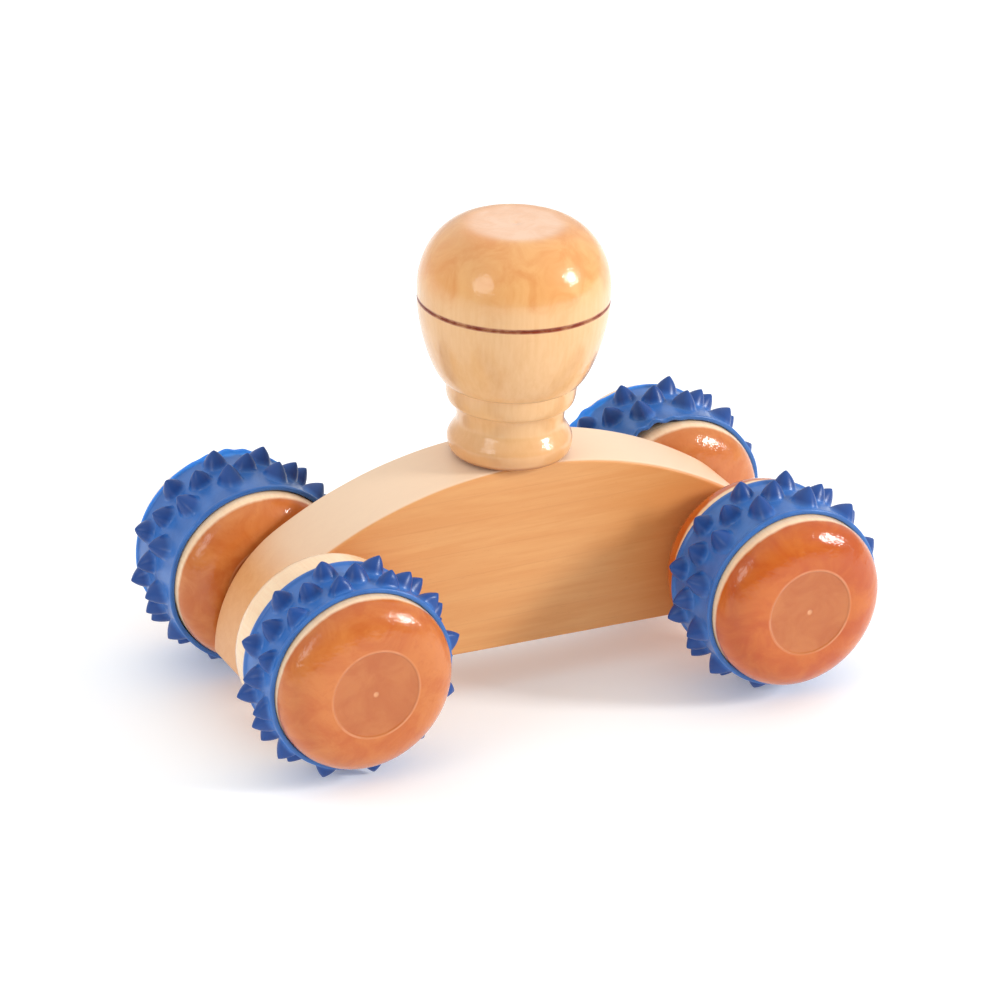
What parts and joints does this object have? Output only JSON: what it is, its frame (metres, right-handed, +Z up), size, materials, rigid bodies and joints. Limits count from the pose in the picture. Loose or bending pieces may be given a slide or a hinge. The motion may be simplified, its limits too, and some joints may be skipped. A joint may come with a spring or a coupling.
{
  "type": "foot massage roller",
  "caption": "Hand-held wooden massage roller: an arched body with a turned knob rides on domed wheels that wear spiked rubber bands and turn in pairs on dowel axles.",
  "frame": {"origin": "on the floor, below the middle of the body", "axes": "+X along the body towards the right pair of wheels, +Y across the body along the axles towards the rear wheels, +Z up towards the knob"},
  "size_m": [0.1537, 0.0922, 0.1073],
  "materials": {
    "body_wood": "clear lacquered beech, satin",
    "knob_wood": "clear lacquered beech, gloss",
    "dowel_wood": "bare beech dowel",
    "wheel_wood": "lacquered beech, orange end grain, gloss",
    "band_rubber": "blue moulded rubber, semi-gloss"
  },
  "bodies": {
    "handle": {"body_block": "body_wood", "knob": "knob_wood", "knob_dowel": "dowel_wood"},
    "left_wheelset": {"left_axle": "dowel_wood", "front_left_wheel": "wheel_wood", "rear_left_wheel": "wheel_wood", "front_left_band": "band_rubber", "rear_left_band": "band_rubber"},
    "right_wheelset": {"right_axle": "dowel_wood", "front_right_wheel": "wheel_wood", "rear_right_wheel": "wheel_wood", "front_right_band": "band_rubber", "rear_right_band": "band_rubber"}
  },
  "joints": [
    {"name": "left_roll", "type": "hinge", "parent": "handle", "child": "left_wheelset", "pos_m": [-0.05225, 0, 0.0246], "axis": [0, 1, 0], "continuous": true},
    {"name": "right_roll", "type": "hinge", "parent": "handle", "child": "right_wheelset", "pos_m": [0.05225, 0, 0.0246], "axis": [0, 1, 0], "continuous": true}
  ]
}
